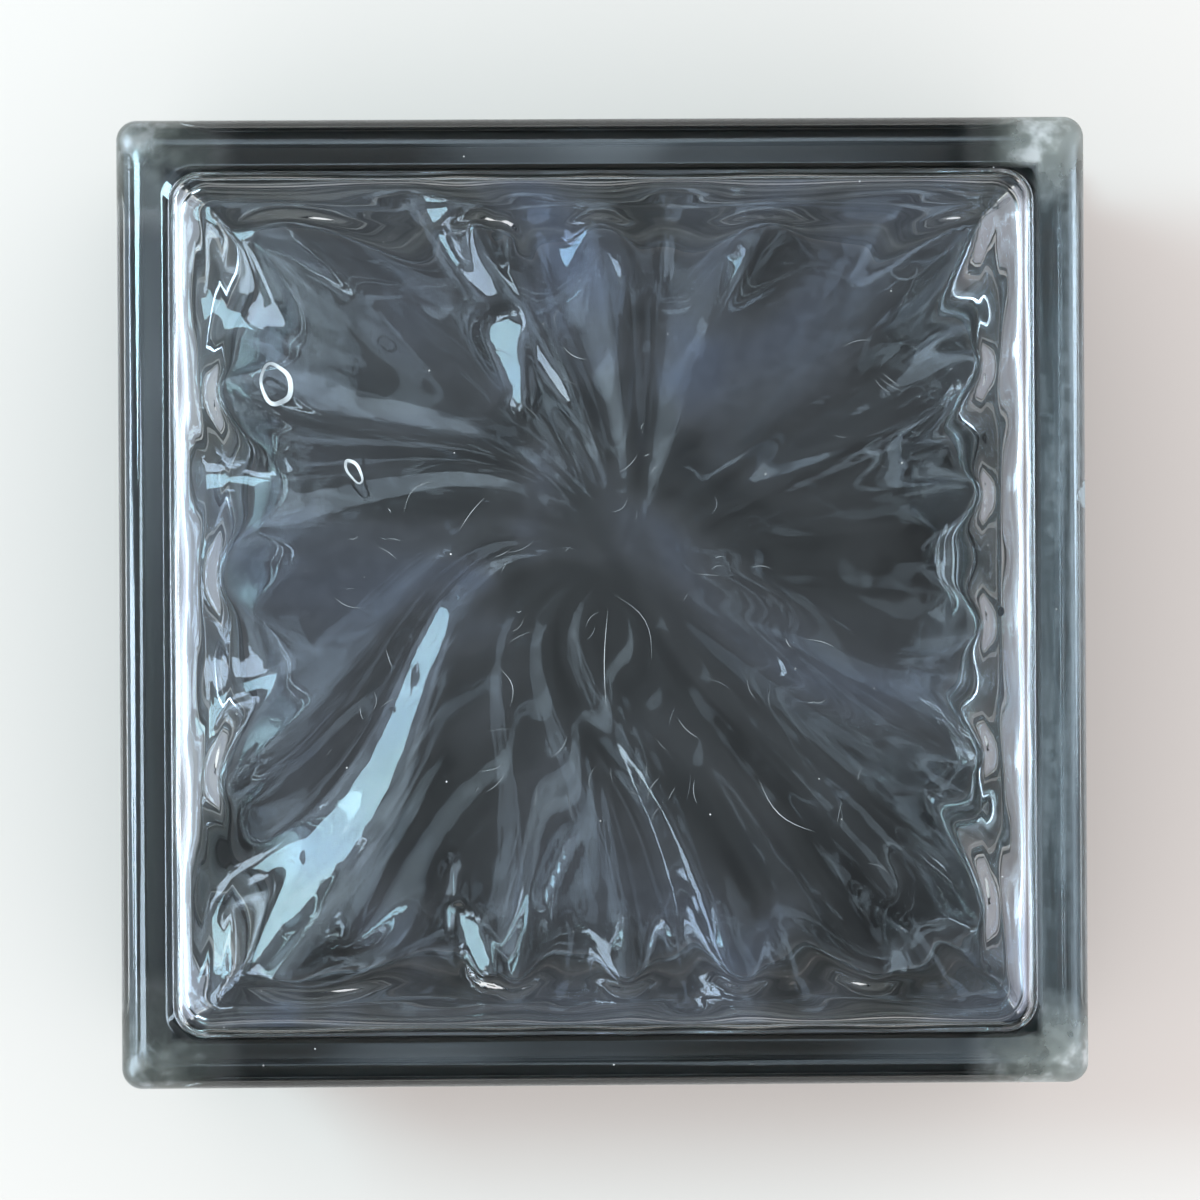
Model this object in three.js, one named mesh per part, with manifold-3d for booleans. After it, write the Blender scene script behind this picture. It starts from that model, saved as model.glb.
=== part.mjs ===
// A clear, hollow, square glass block lying on its back face, in millimetres with +Z up.
// Two pressed glass dishes, front and back, are fused rim to rim half way through the thickness.
// The outer faces are smooth, each with a raised panel inside a narrow border.
// The inner faces carry ridges that fan out from a hub near the middle and scallop the hollow's rounded edge.
// Both dishes are pressings of one shape, and the back one is turned over.
// The origin is on the floor, under the middle of the block.
import * as THREE from 'three';
import { mergeVertices } from 'three/addons/utils/BufferGeometryUtils.js';
import Module from 'manifold-3d';

// Whole block
const blockSide = 190;
const blockDepth = 80;
const blockCornerRadius = 4;

// Outer face: a raised panel, and the border round it that slopes away to the block's rounded edge
const borderWidth = 11;
const borderSlope = 7;
const panelRise = 2.6;
const panelCornerRadius = 6;
const panelEdgeRadius = 2;
const panelFootWidth = 1.5;
const rimEdgeRadius = 6;

// Side wall: a flat land along each rim, then a channel that keys into the mortar
const landWidth = 5.5;
const keyDepth = 4;
const keyShoulder = 3;
const seamBeadDepth = 0.8;
const seamBeadHeight = 2;

// Hollow
const wallThickness = 6.2;
const wallDraft = 1.2;
const paneThickness = 8.2;
const hollowCornerRadius = 6;
const hollowFillet = 8;

// Ridges on the inner faces: [bearing from the hub in degrees anticlockwise from +X, height]
const ridges = [
  [1, 0.35], [21, 0.6], [37, 0.6], [52, 0.45], [83, 1.2], [106, 0.45],
  [121, 0.75], [147, 0.6], [167, 1.15], [197, 0.35], [218, 1.7], [248, 0.25],
  [262, 0.3], [278, 1.15], [293, 0.45], [308, 0.6], [324, 0.6], [340, 0.4],
];
const ridgeSharpness = 1.8;
const ridgeGrowth = 1.28;
const edgeScallop = 0.6;
const hubX = 4.5;
const hubY = 7;

// On one side of the hub the ridges curl round it, and scallop the hollow's edge more deeply
const curlAngle = 1.28;
const curlReach = 38;
const curlBearing = 196;
const curlScallop = 1.1;

// How finely the outlines and surfaces are divided
const cornerSteps = 5;
const outerSideSteps = 1;
const hollowSideSteps = 20;
const arcSteps = 6;
const beadSteps = 2;
const paneRings = 11;
const cutOverrun = 2;

const quarterTurn = Math.PI / 2;
const halfSide = blockSide / 2;
const halfDepth = blockDepth / 2;
const seamSize = halfSide - keyDepth - wallThickness;
const roofSize = seamSize - wallDraft;

const wasm = await Module();
wasm.setup();

// A level turn of points round a square with rounded corners.
function squareRing(halfSize, cornerRadius, height, sideSteps) {
  const reach = halfSize - cornerRadius;
  const points = [];
  for (let side = 0; side < 4; side += 1) {
    const middle = (side + 0.5) * quarterTurn;
    const centreX = reach * Math.sign(Math.cos(middle));
    const centreY = reach * Math.sign(Math.sin(middle));
    for (let step = 0; step <= cornerSteps; step += 1) {
      const angle = (side + step / cornerSteps) * quarterTurn;
      const x = centreX + cornerRadius * Math.cos(angle);
      const y = centreY + cornerRadius * Math.sin(angle);
      points.push(new THREE.Vector3(x, y, height));
    }
    const runStart = points.at(-1);
    const turned = (side + 1) * quarterTurn;
    const along = new THREE.Vector3(-Math.sin(turned), Math.cos(turned), 0);
    for (let step = 1; step < sideSteps; step += 1) {
      points.push(runStart.clone().addScaledVector(along, (2 * reach * step) / sideSteps));
    }
  }
  return points;
}

// A closed body through a stack of rings from the lowest to the highest, capped at both ends.
function loft(rings) {
  const count = rings[0].length;
  const positions = rings.flat().flatMap((point) => point.toArray());
  const index = [];
  for (let ring = 0; ring + 1 < rings.length; ring += 1) {
    for (let step = 0; step < count; step += 1) {
      const here = ring * count + step;
      const beside = ring * count + ((step + 1) % count);
      index.push(here, beside, beside + count);
      index.push(here, beside + count, here + count);
    }
  }
  const lastRing = (rings.length - 1) * count;
  const bottomHub = rings.length * count;
  const topHub = bottomHub + 1;
  positions.push(...middleOf(rings[0]).toArray(), ...middleOf(rings.at(-1)).toArray());
  for (let step = 0; step < count; step += 1) {
    const beside = (step + 1) % count;
    index.push(bottomHub, beside, step);
    index.push(topHub, lastRing + step, lastRing + beside);
  }
  const geometry = new THREE.BufferGeometry();
  geometry.setAttribute('position', new THREE.Float32BufferAttribute(positions, 3));
  geometry.setIndex(index);
  return geometry;
}

function middleOf(ring) {
  return ring.reduce((sum, point) => sum.add(point), new THREE.Vector3()).divideScalar(ring.length);
}

// A rounded edge from its outermost line up to an angle above it, as [size, height] pairs about a centre.
function roundedEdge(centreSize, centreHeight, radius, endAngle = quarterTurn) {
  const pairs = [];
  for (let step = 0; step <= arcSteps; step += 1) {
    const angle = (step / arcSteps) * endAngle;
    pairs.push([centreSize + radius * Math.cos(angle), centreHeight + radius * Math.sin(angle)]);
  }
  return pairs;
}

// Half of the bead where the rims were fused, from the seam plane up to where it meets the wall.
function seamBead(wallSize, outward) {
  const pairs = [];
  for (let step = 0; step <= beadSteps; step += 1) {
    const angle = (step / beadSteps) * quarterTurn;
    pairs.push([wallSize + outward * seamBeadDepth * Math.cos(angle), seamBeadHeight * Math.sin(angle)]);
  }
  return pairs;
}

// Half the block's outer shape: seam plane at height 0, panel face at half the depth.
function outerRings() {
  const channelSize = halfSide - keyDepth;
  const panelSize = halfSide - borderWidth;
  const footSize = panelSize + panelFootWidth;
  const footHeight = halfDepth - panelRise;
  const slope = THREE.MathUtils.degToRad(borderSlope);
  const rimCentre = halfSide - rimEdgeRadius;
  const borderFall = (rimCentre + rimEdgeRadius * Math.sin(slope) - footSize) * Math.tan(slope);
  const landTop = footHeight - borderFall - rimEdgeRadius * Math.cos(slope);
  const landFoot = landTop - landWidth;
  const profile = [
    ...seamBead(channelSize, 1),
    [channelSize, landFoot - keyShoulder],
    [halfSide, landFoot],
    ...roundedEdge(rimCentre, landTop, rimEdgeRadius, quarterTurn - slope),
    [footSize, footHeight],
    ...roundedEdge(panelSize - panelEdgeRadius, halfDepth - panelEdgeRadius, panelEdgeRadius),
  ];
  return profile.map(([size, height]) => squareRing(size, outerCorner(size), height, outerSideSteps));
}

// The corners keep one centre from the block's edge inwards, and the panel has its own radius.
function outerCorner(size) {
  const panelSize = halfSide - borderWidth;
  const share = THREE.MathUtils.clamp((size - panelSize) / borderWidth, 0, 1);
  const inside = Math.min(size - panelSize, 0);
  return THREE.MathUtils.lerp(panelCornerRadius + inside, blockCornerRadius, share);
}

// The wave at a bearing from the hub: 1 on a ridge, -1 in the scoop beside it, and the ridges' height there.
function ridgeWave(bearing) {
  const fullTurn = 360;
  const [[firstStop, firstHeight]] = ridges;
  const past = THREE.MathUtils.radToDeg(bearing) - firstStop;
  const place = firstStop + THREE.MathUtils.euclideanModulo(past, fullTurn);
  const stops = [...ridges, [firstStop + fullTurn, firstHeight]];
  const next = stops.findIndex(([stop]) => stop > place);
  const [lastStop, lastHeight] = stops[next - 1];
  const [nextStop, nextHeight] = stops[next];
  const share = (place - lastStop) / (nextStop - lastStop);
  const height = THREE.MathUtils.lerp(lastHeight, nextHeight, THREE.MathUtils.smoothstep(share, 0, 1));
  return { wave: 1 - 2 * Math.sin(Math.PI * share) ** ridgeSharpness, height };
}

// The ridges at a place in the hollow: their wave, which grows from nothing at the hub, their height
// there, and how deeply they scallop the hollow's edge on that side.
function relief(x, y) {
  const fromHub = new THREE.Vector2(x - hubX, y - hubY);
  const distance = fromHub.length();
  const straight = fromHub.angle();
  const side = ((1 + Math.cos(straight - THREE.MathUtils.degToRad(curlBearing))) / 2) ** 2;
  const curl = curlAngle * side * Math.exp(-((distance / curlReach) ** 2));
  const { wave, height } = ridgeWave(straight + curl);
  const grown = wave * Math.min(distance / seamSize, 1) ** ridgeGrowth;
  return { wave: grown, height, scallop: edgeScallop + curlScallop * side };
}

// The hollow in one half, open at the seam. Its walls are straight, and the ridges push in its roof and
// the upper half of the rounding between the two.
function hollowRings() {
  const roofHeight = halfDepth - paneThickness;
  const profile = [
    [seamSize - seamBeadDepth, -cutOverrun],
    ...seamBead(seamSize, -1),
    [(seamSize + roofSize) / 2, (roofHeight - hollowFillet + seamBeadHeight) / 2],
    ...roundedEdge(roofSize - hollowFillet, roofHeight - hollowFillet, hollowFillet),
  ];
  const roofEdge = roofSize - hollowFillet;
  for (let ring = 1; ring < paneRings; ring += 1) {
    profile.push([roofEdge * (1 - ring / paneRings), roofHeight]);
  }
  const rings = profile.map(([size, height]) => {
    const corner = hollowCornerRadius * Math.min(1, size / roofSize);
    return squareRing(size, corner, height, hollowSideSteps);
  });
  for (const point of rings.flat()) {
    const rise = THREE.MathUtils.smoothstep(point.z, roofHeight - hollowFillet / 2, roofHeight);
    const { wave, height, scallop } = relief(point.x, point.y);
    const inward = 1 - (scallop * rise * wave) / roofSize;
    point.set(point.x * inward, point.y * inward, point.z - height * rise * wave);
  }
  return rings;
}

function toManifold(geometry) {
  const merged = mergeVertices(geometry, 1e-4);
  const mesh = new wasm.Mesh({
    numProp: 3,
    vertProperties: merged.attributes.position.array,
    triVerts: new Uint32Array(merged.index.array),
  });
  return new wasm.Manifold(mesh);
}

function fromManifold(solid) {
  const mesh = solid.getMesh();
  const geometry = new THREE.BufferGeometry();
  geometry.setAttribute('position', new THREE.BufferAttribute(mesh.vertProperties, 3));
  geometry.setIndex(new THREE.BufferAttribute(mesh.triVerts, 1));
  geometry.computeVertexNormals();
  return geometry;
}

// One pressed dish, its rim on the seam plane and its panel face up.
function pressedHalf(name, colour) {
  const body = toManifold(loft(outerRings())).subtract(toManifold(loft(hollowRings())));
  const glass = new THREE.MeshStandardMaterial({ color: colour, roughness: 0.05, metalness: 0 });
  const mesh = new THREE.Mesh(fromManifold(body), glass);
  mesh.name = name;
  mesh.position.z = halfDepth;
  return mesh;
}

const frontHalf = pressedHalf('front_half', 0x9fb0b2);

const backHalf = pressedHalf('back_half', 0x93a6a8);
backHalf.rotation.y = Math.PI;

const glassBlock = new THREE.Group();
glassBlock.add(frontHalf, backHalf);

export default glassBlock;
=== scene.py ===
import math
import random
from functools import partial

import bpy
import numpy as np
from mathutils import Matrix, Quaternion, Vector


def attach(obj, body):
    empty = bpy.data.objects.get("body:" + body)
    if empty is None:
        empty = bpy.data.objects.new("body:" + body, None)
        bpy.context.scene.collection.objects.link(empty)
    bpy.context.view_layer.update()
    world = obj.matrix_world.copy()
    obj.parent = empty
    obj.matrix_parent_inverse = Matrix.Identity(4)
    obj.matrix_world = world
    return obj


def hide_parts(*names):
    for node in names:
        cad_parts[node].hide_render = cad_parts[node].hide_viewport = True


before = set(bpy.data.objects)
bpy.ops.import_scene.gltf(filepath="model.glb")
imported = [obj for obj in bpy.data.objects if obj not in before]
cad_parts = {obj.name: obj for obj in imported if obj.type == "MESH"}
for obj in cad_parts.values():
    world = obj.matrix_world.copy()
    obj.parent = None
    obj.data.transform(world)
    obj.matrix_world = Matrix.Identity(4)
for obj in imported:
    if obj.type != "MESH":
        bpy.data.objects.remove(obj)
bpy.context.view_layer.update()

scene = bpy.context.scene
mm = 0.001        # the dictionaries below give lengths in millimetres


# small helpers for objects, node trees and materials

def addObject(name, data):
    made = bpy.data.objects.new(name, data)
    scene.collection.objects.link(made)
    return made


def meshFrom(name, points, faces, edges=()):
    mesh = bpy.data.meshes.new(name)
    mesh.from_pydata([tuple(point) for point in points], edges, faces)
    mesh.update()
    return mesh


def feed(tree, socket, value):
    # sets a socket to a plain value, or links another node's output to it
    if isinstance(value, bpy.types.NodeSocket):
        tree.links.new(value, socket)
    else:
        socket.default_value = value


def calc(tree, operation, *values):
    # one Math node
    node = tree.nodes.new("ShaderNodeMath")
    node.operation = operation
    for socket, value in zip(node.inputs, values):
        feed(tree, socket, value)
    return node.outputs[0]


def smoothRamp(tree, value, low, high, toLow=0.0, toHigh=1.0):
    # goes smoothly from toLow, where the value is low, to toHigh, where it is high
    node = tree.nodes.new("ShaderNodeMapRange")
    node.interpolation_type = "SMOOTHSTEP"
    for name, given in (("Value", value), ("From Min", low), ("From Max", high),
                        ("To Min", toLow), ("To Max", toHigh)):
        feed(tree, node.inputs[name], given)
    return node.outputs["Result"]


def noise(tree, vector, scale, detail=2, roughness=0.5, distortion=0):
    node = tree.nodes.new("ShaderNodeTexNoise")
    feed(tree, node.inputs["Vector"], vector)
    for name, given in (("Scale", scale), ("Detail", detail), ("Roughness", roughness),
                        ("Distortion", distortion)):
        node.inputs[name].default_value = given
    return node.outputs["Fac"]


def mixColour(tree, share, first, second):
    node = tree.nodes.new("ShaderNodeMix")
    node.data_type = "RGBA"
    feed(tree, node.inputs["Factor"], share)
    for socket in node.inputs:
        if socket.type == "RGBA" and socket.name == "A":
            feed(tree, socket, first)
        if socket.type == "RGBA" and socket.name == "B":
            feed(tree, socket, second)
    return [socket for socket in node.outputs if socket.type == "RGBA"][0]


def newMaterial(name):
    material = bpy.data.materials.new(name)
    material.use_nodes = True
    tree = material.node_tree
    place = tree.nodes.new("ShaderNodeTexCoord").outputs["Object"]
    return material, tree, tree.nodes["Principled BSDF"], place


def startTree(name, settings, materials):
    # a geometry tree with one input for each setting and for each material
    tree = bpy.data.node_groups.new(name, "GeometryNodeTree")
    for way in ("INPUT", "OUTPUT"):
        tree.interface.new_socket("Geometry", in_out=way, socket_type="NodeSocketGeometry")
    names = {}
    for key, value in {**settings, **materials}.items():
        kind = "NodeSocketMaterial" if key in materials else "NodeSocketFloat"
        socket = tree.interface.new_socket(key, in_out="INPUT", socket_type=kind)
        socket.default_value = value
        names[key] = socket.identifier
    start = tree.nodes.new("NodeGroupInput")
    return tree, names, {socket.name: socket for socket in start.outputs}


def endTree(tree, geometry, materials):
    # the first material goes on every face, and each later one on the faces of its own zone
    node = tree.nodes.new("GeometryNodeRealizeInstances")
    tree.links.new(geometry, node.inputs[0])
    for zone, material in enumerate(materials):
        last, node = node, tree.nodes.new("GeometryNodeSetMaterial")
        tree.links.new(last.outputs[0], node.inputs["Geometry"])
        tree.links.new(material, node.inputs["Material"])
        if zone > 0:
            marked = tree.nodes.new("GeometryNodeInputNamedAttribute")
            marked.data_type = "INT"
            marked.inputs["Name"].default_value = "zone"
            inZone = tree.nodes.new("FunctionNodeCompare")
            inZone.data_type = "INT"
            inZone.operation = "EQUAL"
            given = [socket for socket in inZone.inputs if socket.type == "INT"]
            feed(tree, given[0], [socket for socket in marked.outputs if socket.type == "INT"][0])
            feed(tree, given[1], zone)
            tree.links.new(inZone.outputs[0], node.inputs["Selection"])
    end = tree.nodes.new("NodeGroupOutput")
    tree.links.new(node.outputs[0], end.inputs[0])


def applyTree(piece, tree, names, settings):
    # runs the tree with its inputs set, and keeps the result as a plain mesh
    modifier = piece.modifiers.new("made", "NODES")
    modifier.node_group = tree
    for key, value in settings.items():
        modifier[names[key]] = value
    graph = bpy.context.evaluated_depsgraph_get()
    made = bpy.data.meshes.new_from_object(piece.evaluated_get(graph))
    piece.modifiers.remove(modifier)
    piece.data = made


def finishPiece(piece):
    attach(piece, "root")
    print(piece.name, len(piece.data.polygons), "faces")


# the glass block: one fused body, an outer skin with a sealed hollow inside it

block = {
    "side": 190, "depth": 80, "cornerRadius": 4,
    "borderWidth": 11, "borderSlope": 7, "panelRise": 2.6,
    "panelCornerRadius": 6, "panelEdgeRadius": 2, "panelFootWidth": 1.5, "rimEdgeRadius": 6,
    "landWidth": 5.5, "keyDepth": 4, "keyShoulder": 3,
    "seamBeadDepth": 0.8, "seamBeadHeight": 2,
    "wallThickness": 6.2, "wallDraft": 1.2, "paneThickness": 8.2,
    "hollowCornerRadius": 6, "hollowFillet": 8,
    "wearRoom": 0.03, "creaseRoom": 0.25,
}

# each ridge: bearing from the hub in degrees anticlockwise from +X, height
ridges = [
    (1, 0.35), (21, 0.6), (37, 0.6), (52, 0.45), (83, 1.2), (106, 0.45),
    (121, 0.75), (147, 0.6), (167, 1.15), (197, 0.35), (218, 1.7), (248, 0.25),
    (262, 0.3), (278, 1.15), (293, 0.45), (308, 0.6), (324, 0.6), (340, 0.4),
]

fan = {
    "sharpness": 1.8, "growth": 1.28, "hubX": 4.5, "hubY": 7,
    "curlAngle": 1.28, "curlReach": 38, "curlBearing": 196,
    "edgeScallop": 0.6, "curlScallop": 1.1, "rollStart": 66, "rollWave": 8, "rollDepth": 1.8,
    "swell": 0.25, "swellScale": 80,
}

# places where the front half's hollow face runs flat instead of following the ridges:
# middle, bearing, half length, half width, taper along it, slope across and up, height
flats = [
    ((-18, 47), 107, 12, 4.4, 0.6, (-0.187, 0.049), 0.11),
    ((-18.5, 70), 100, 5, 2.2, 0.3, (-0.187, 0.038), -0.21),
    ((-26, -67), 116, 9, 3.8, -0.4, (-0.183, 0.102), 0.23),
    ((-29.7, -54), 92, 5, 1.9, -0.3, (-0.182, 0.096), 0.1),
    ((-33.5, -7), 74, 9, 2.8, 0.2, (-0.173, 0.077), 0.17),
    ((-9, -52), 64, 9, 2.3, 0.0, (-0.191, 0.095), 0.13),
]
flatEdge = 0.6        # share of a flat over which it blends into the ridges round it
flatTip = 0.1         # least half width that its taper leaves it, against the middle's

# how many lines or steps divide each surface, and how wide a strip the panel's edge lines fill
fineness = {
    "arc": 8, "bead": 4, "outerLines": 26, "outerEdgeLines": 9, "outerEdge": 7,
    "hollowLines": 66, "wallRings": 8,
}

halfSide = block["side"] / 2
halfDepth = block["depth"] / 2
panelSize = halfSide - block["borderWidth"]
panelTop = block["depth"] - block["wearRoom"]        # leaves room for what lies on the panel
wearHeight = panelTop + block["wearRoom"] / 2
footSize = panelSize + block["panelFootWidth"]
footHeight = block["depth"] - block["panelRise"]
slope = math.radians(block["borderSlope"])
rimCentre = halfSide - block["rimEdgeRadius"]
borderFall = (rimCentre + block["rimEdgeRadius"] * math.sin(slope) - footSize) * math.tan(slope)
landTop = footHeight - borderFall - block["rimEdgeRadius"] * math.cos(slope)
landFoot = landTop - block["landWidth"]
topLine, footLine = landTop - halfDepth, landFoot - halfDepth        # both measured from the seam
channelSize = halfSide - block["keyDepth"]
seamSize = channelSize - block["wallThickness"]
roofSize = seamSize - block["wallDraft"]
roofHeight = block["depth"] - block["paneThickness"]


def edgedLines():
    # lines across the panel, close together next to its edges
    share = fineness["outerEdge"] / panelSize
    inner = np.linspace(0, 1 - share, fineness["outerLines"] + 1)
    outer = np.linspace(1 - share, 1, fineness["outerEdgeLines"] + 1)[1:]
    half = np.concatenate([inner, outer])
    return np.concatenate([-half[:0:-1], half])


def roundOff(u, v, size, radius):
    # a point of a square grid, moved so that each square ring has round corners
    level = max(abs(u), abs(v))
    reach = level * size
    corner = min(radius * level, reach)
    x, y = u * size, v * size
    past = min(abs(x), abs(y)) - (reach - corner)
    if past <= 0 or corner <= 0:
        return x, y
    angle = past / corner * math.pi / 4
    near = reach - corner + corner * math.cos(angle)
    far = reach - corner + corner * math.sin(angle)
    if abs(x) < abs(y):
        near, far = far, near
    return math.copysign(near, x), math.copysign(far, y)


def roundedEdge(size, height, radius, endAngle=math.pi / 2):
    # from its top line down to its outermost one
    steps = fineness["arc"]
    turns = [endAngle * k / steps for k in range(steps, -1, -1)]
    return [(size + radius * math.cos(a), height + radius * math.sin(a)) for a in turns]


def straightTo(rows, end):
    # a straight run, with a line close to each of its ends so that the corners stay crisp
    start = rows[-1]
    share = block["creaseRoom"] / math.hypot(end[0] - start[0], end[1] - start[1])
    return [(start[0] + (end[0] - start[0]) * part, start[1] + (end[1] - start[1]) * part)
            for part in (share, 1 - share, 1)]


def seamBead(wall, outward):
    steps = fineness["bead"]
    turns = [math.pi / 2 * k / steps for k in range(steps, -1, -1)]
    return [(wall + outward * block["seamBeadDepth"] * math.cos(a),
             halfDepth + block["seamBeadHeight"] * math.sin(a)) for a in turns]


def mirrored(rows):
    # the last row lies on the seam, and is kept once
    return rows + [(size, block["depth"] - height) for size, height in reversed(rows[:-1])]


def outerProfile():
    rows = roundedEdge(panelSize - block["panelEdgeRadius"], panelTop - block["panelEdgeRadius"],
                       block["panelEdgeRadius"])
    rim = roundedEdge(rimCentre, landTop, block["rimEdgeRadius"], math.pi / 2 - slope)
    bead = seamBead(channelSize, 1)
    rows += straightTo(rows, (footSize, footHeight))
    rows += straightTo(rows, rim[0]) + rim[1:]
    rows += straightTo(rows, (halfSide, landFoot))
    rows += straightTo(rows, (channelSize, landFoot - block["keyShoulder"]))
    rows += straightTo(rows, bead[0]) + bead[1:]
    return mirrored(rows)


def outerRadius(size):
    share = min(max((size - panelSize) / block["borderWidth"], 0), 1)
    inside = min(size - panelSize, 0)
    return (block["panelCornerRadius"] + inside) * (1 - share) + block["cornerRadius"] * share


def hollowProfile():
    rows = roundedEdge(roofSize - block["hollowFillet"], roofHeight - block["hollowFillet"],
                       block["hollowFillet"])
    beadTop = halfDepth + block["seamBeadHeight"]
    wallTop = roofHeight - block["hollowFillet"]
    for k in range(1, fineness["wallRings"]):
        share = k / fineness["wallRings"]
        rows.append((roofSize + (seamSize - roofSize) * share, wallTop + (beadTop - wallTop) * share))
    rows += seamBead(seamSize, -1)
    return mirrored(rows)


def hollowRadius(size):
    return block["hollowCornerRadius"] * min(1, size / roofSize)


def closedShell(lines, profile, radiusAt):
    # a grid on top, rings down the sides and a grid underneath, following the profile from the top
    n = len(lines)
    grid = [(i, j) for j in range(n) for i in range(n)]
    edge = [(i, 0) for i in range(n - 1)] + [(n - 1, j) for j in range(n - 1)]
    edge += [(i, n - 1) for i in range(n - 1, 0, -1)] + [(0, j) for j in range(n - 1, 0, -1)]
    points, faces, rings = [], [], []

    def addPoints(places, size, height):
        first = len(points)
        for i, j in places:
            x, y = roundOff(lines[i], lines[j], size, radiusAt(size))
            points.append((x, y, height))
        return first

    top = addPoints(grid, *profile[0])
    bottom = addPoints(grid, *profile[-1])
    for j in range(n - 1):
        for i in range(n - 1):
            a, b = top + j * n + i, bottom + j * n + i
            faces.append((a, a + 1, a + n + 1, a + n))
            faces.append((b, b + n, b + n + 1, b + 1))
    rings.append([top + j * n + i for i, j in edge])
    for size, height in profile[1:-1]:
        first = addPoints(edge, size, height)
        rings.append(range(first, first + len(edge)))
    rings.append([bottom + j * n + i for i, j in edge])
    for above, below in zip(rings, rings[1:]):
        for k in range(len(edge)):
            beside = (k + 1) % len(edge)
            faces.append((above[k], below[k], below[beside], above[beside]))
    return points, faces


def makeBlockMesh():
    outer, outerFaces = closedShell(edgedLines(), outerProfile(), outerRadius)
    hollowGrid = np.linspace(-1, 1, 2 * fineness["hollowLines"] + 1)
    inner, innerFaces = closedShell(hollowGrid, hollowProfile(), hollowRadius)
    first = len(outer)
    faces = outerFaces + [tuple(first + k for k in reversed(face)) for face in innerFaces]
    mesh = meshFrom("glass_block", np.array(outer + inner) * mm, faces)
    inside = mesh.attributes.new("inHollow", "FLOAT", "POINT")
    inside.data.foreach_set("value", [0.0] * first + [1.0] * len(inner))
    # zone 0 is the front panel, 1 the borders and sides, 2 the hollow and the back panel, and the
    # squares of the two panels come first, in turns
    squares = (len(edgedLines()) - 1) ** 2
    zones = [0, 2] * squares + [1] * (len(outerFaces) - 2 * squares) + [2] * len(innerFaces)
    zone = mesh.attributes.new("zone", "INT", "FACE")
    zone.data.foreach_set("value", zones)
    mesh.polygons.foreach_set("use_smooth", [True] * len(mesh.polygons))
    return mesh


def lookUp(tree, value, stops):
    # straight lines from stop to stop, each stop a (where, value) pair between 0 and 1
    node = tree.nodes.new("ShaderNodeFloatCurve")
    points = node.mapping.curves[0].points
    points[0].location, points[-1].location = stops[0], stops[-1]
    for where, height in stops[1:-1]:
        points.new(where, height)
    for point in points:
        point.handle_type = "VECTOR"
    node.mapping.update()
    feed(tree, node.inputs["Value"], value)
    return node.outputs[0]


def ridgeWave(tree, bearing, sharpness):
    # at a bearing from the hub: 1 on a ridge, -1 in the scoop beside it, and the ridges' height there
    run = partial(calc, tree)
    count = len(ridges)
    first, firstHeight = ridges[0]
    turned = run("FRACT", run("DIVIDE", run("SUBTRACT", bearing, math.radians(first)), 2 * math.pi))
    stops = [((stop - first) / 360, k / count) for k, (stop, _) in enumerate(ridges)]
    passed = run("MULTIPLY", lookUp(tree, turned, stops + [(1, 1)]), count)
    share = run("FRACT", passed)
    last = run("DIVIDE", run("FLOOR", passed), count)
    # heights are looked up at half their size, because a curve node stops at 1
    heights = [(k / count, height / 2) for k, (_, height) in enumerate(ridges)]
    heights.append((1, firstHeight / 2))
    height = smoothRamp(tree, share, 0.0, 1.0, lookUp(tree, last, heights),
                        lookUp(tree, run("ADD", last, 1 / count), heights))
    between = run("SINE", run("MULTIPLY", share, math.pi))
    wave = run("SUBTRACT", 1, run("MULTIPLY", run("POWER", between, sharpness), 2))
    return wave, run("MULTIPLY", height, 2)


def flattened(tree, drop, x, y, where, flat):
    # the same drop, with one flat blended in
    run = partial(calc, tree)
    middle, turn, halfLength, halfWidth, taper, (slopeX, slopeY), height = flat
    cosine, sine = math.cos(math.radians(turn)), math.sin(math.radians(turn))
    fromX, fromY = run("SUBTRACT", x, middle[0]), run("SUBTRACT", y, middle[1])
    along = run("ADD", run("MULTIPLY", fromX, cosine), run("MULTIPLY", fromY, sine))
    along = run("DIVIDE", along, halfLength)
    across = run("SUBTRACT", run("MULTIPLY", fromY, cosine), run("MULTIPLY", fromX, sine))
    room = run("MULTIPLY", run("ADD", 1, run("MULTIPLY", along, taper)), halfWidth)
    across = run("DIVIDE", across, run("MAXIMUM", room, flatTip))
    # a fourth power along it keeps its long sides nearly straight
    inner = run("SUBTRACT", 1, run("ADD", run("POWER", along, 4), run("MULTIPLY", across, across)))
    share = run("MULTIPLY", smoothRamp(tree, inner, 0.0, flatEdge), where)
    plane = run("ADD", run("MULTIPLY", fromY, slopeY), height)
    plane = run("ADD", run("MULTIPLY", fromX, slopeX), plane)
    return run("ADD", drop, run("MULTIPLY", run("SUBTRACT", plane, drop), share))


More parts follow.
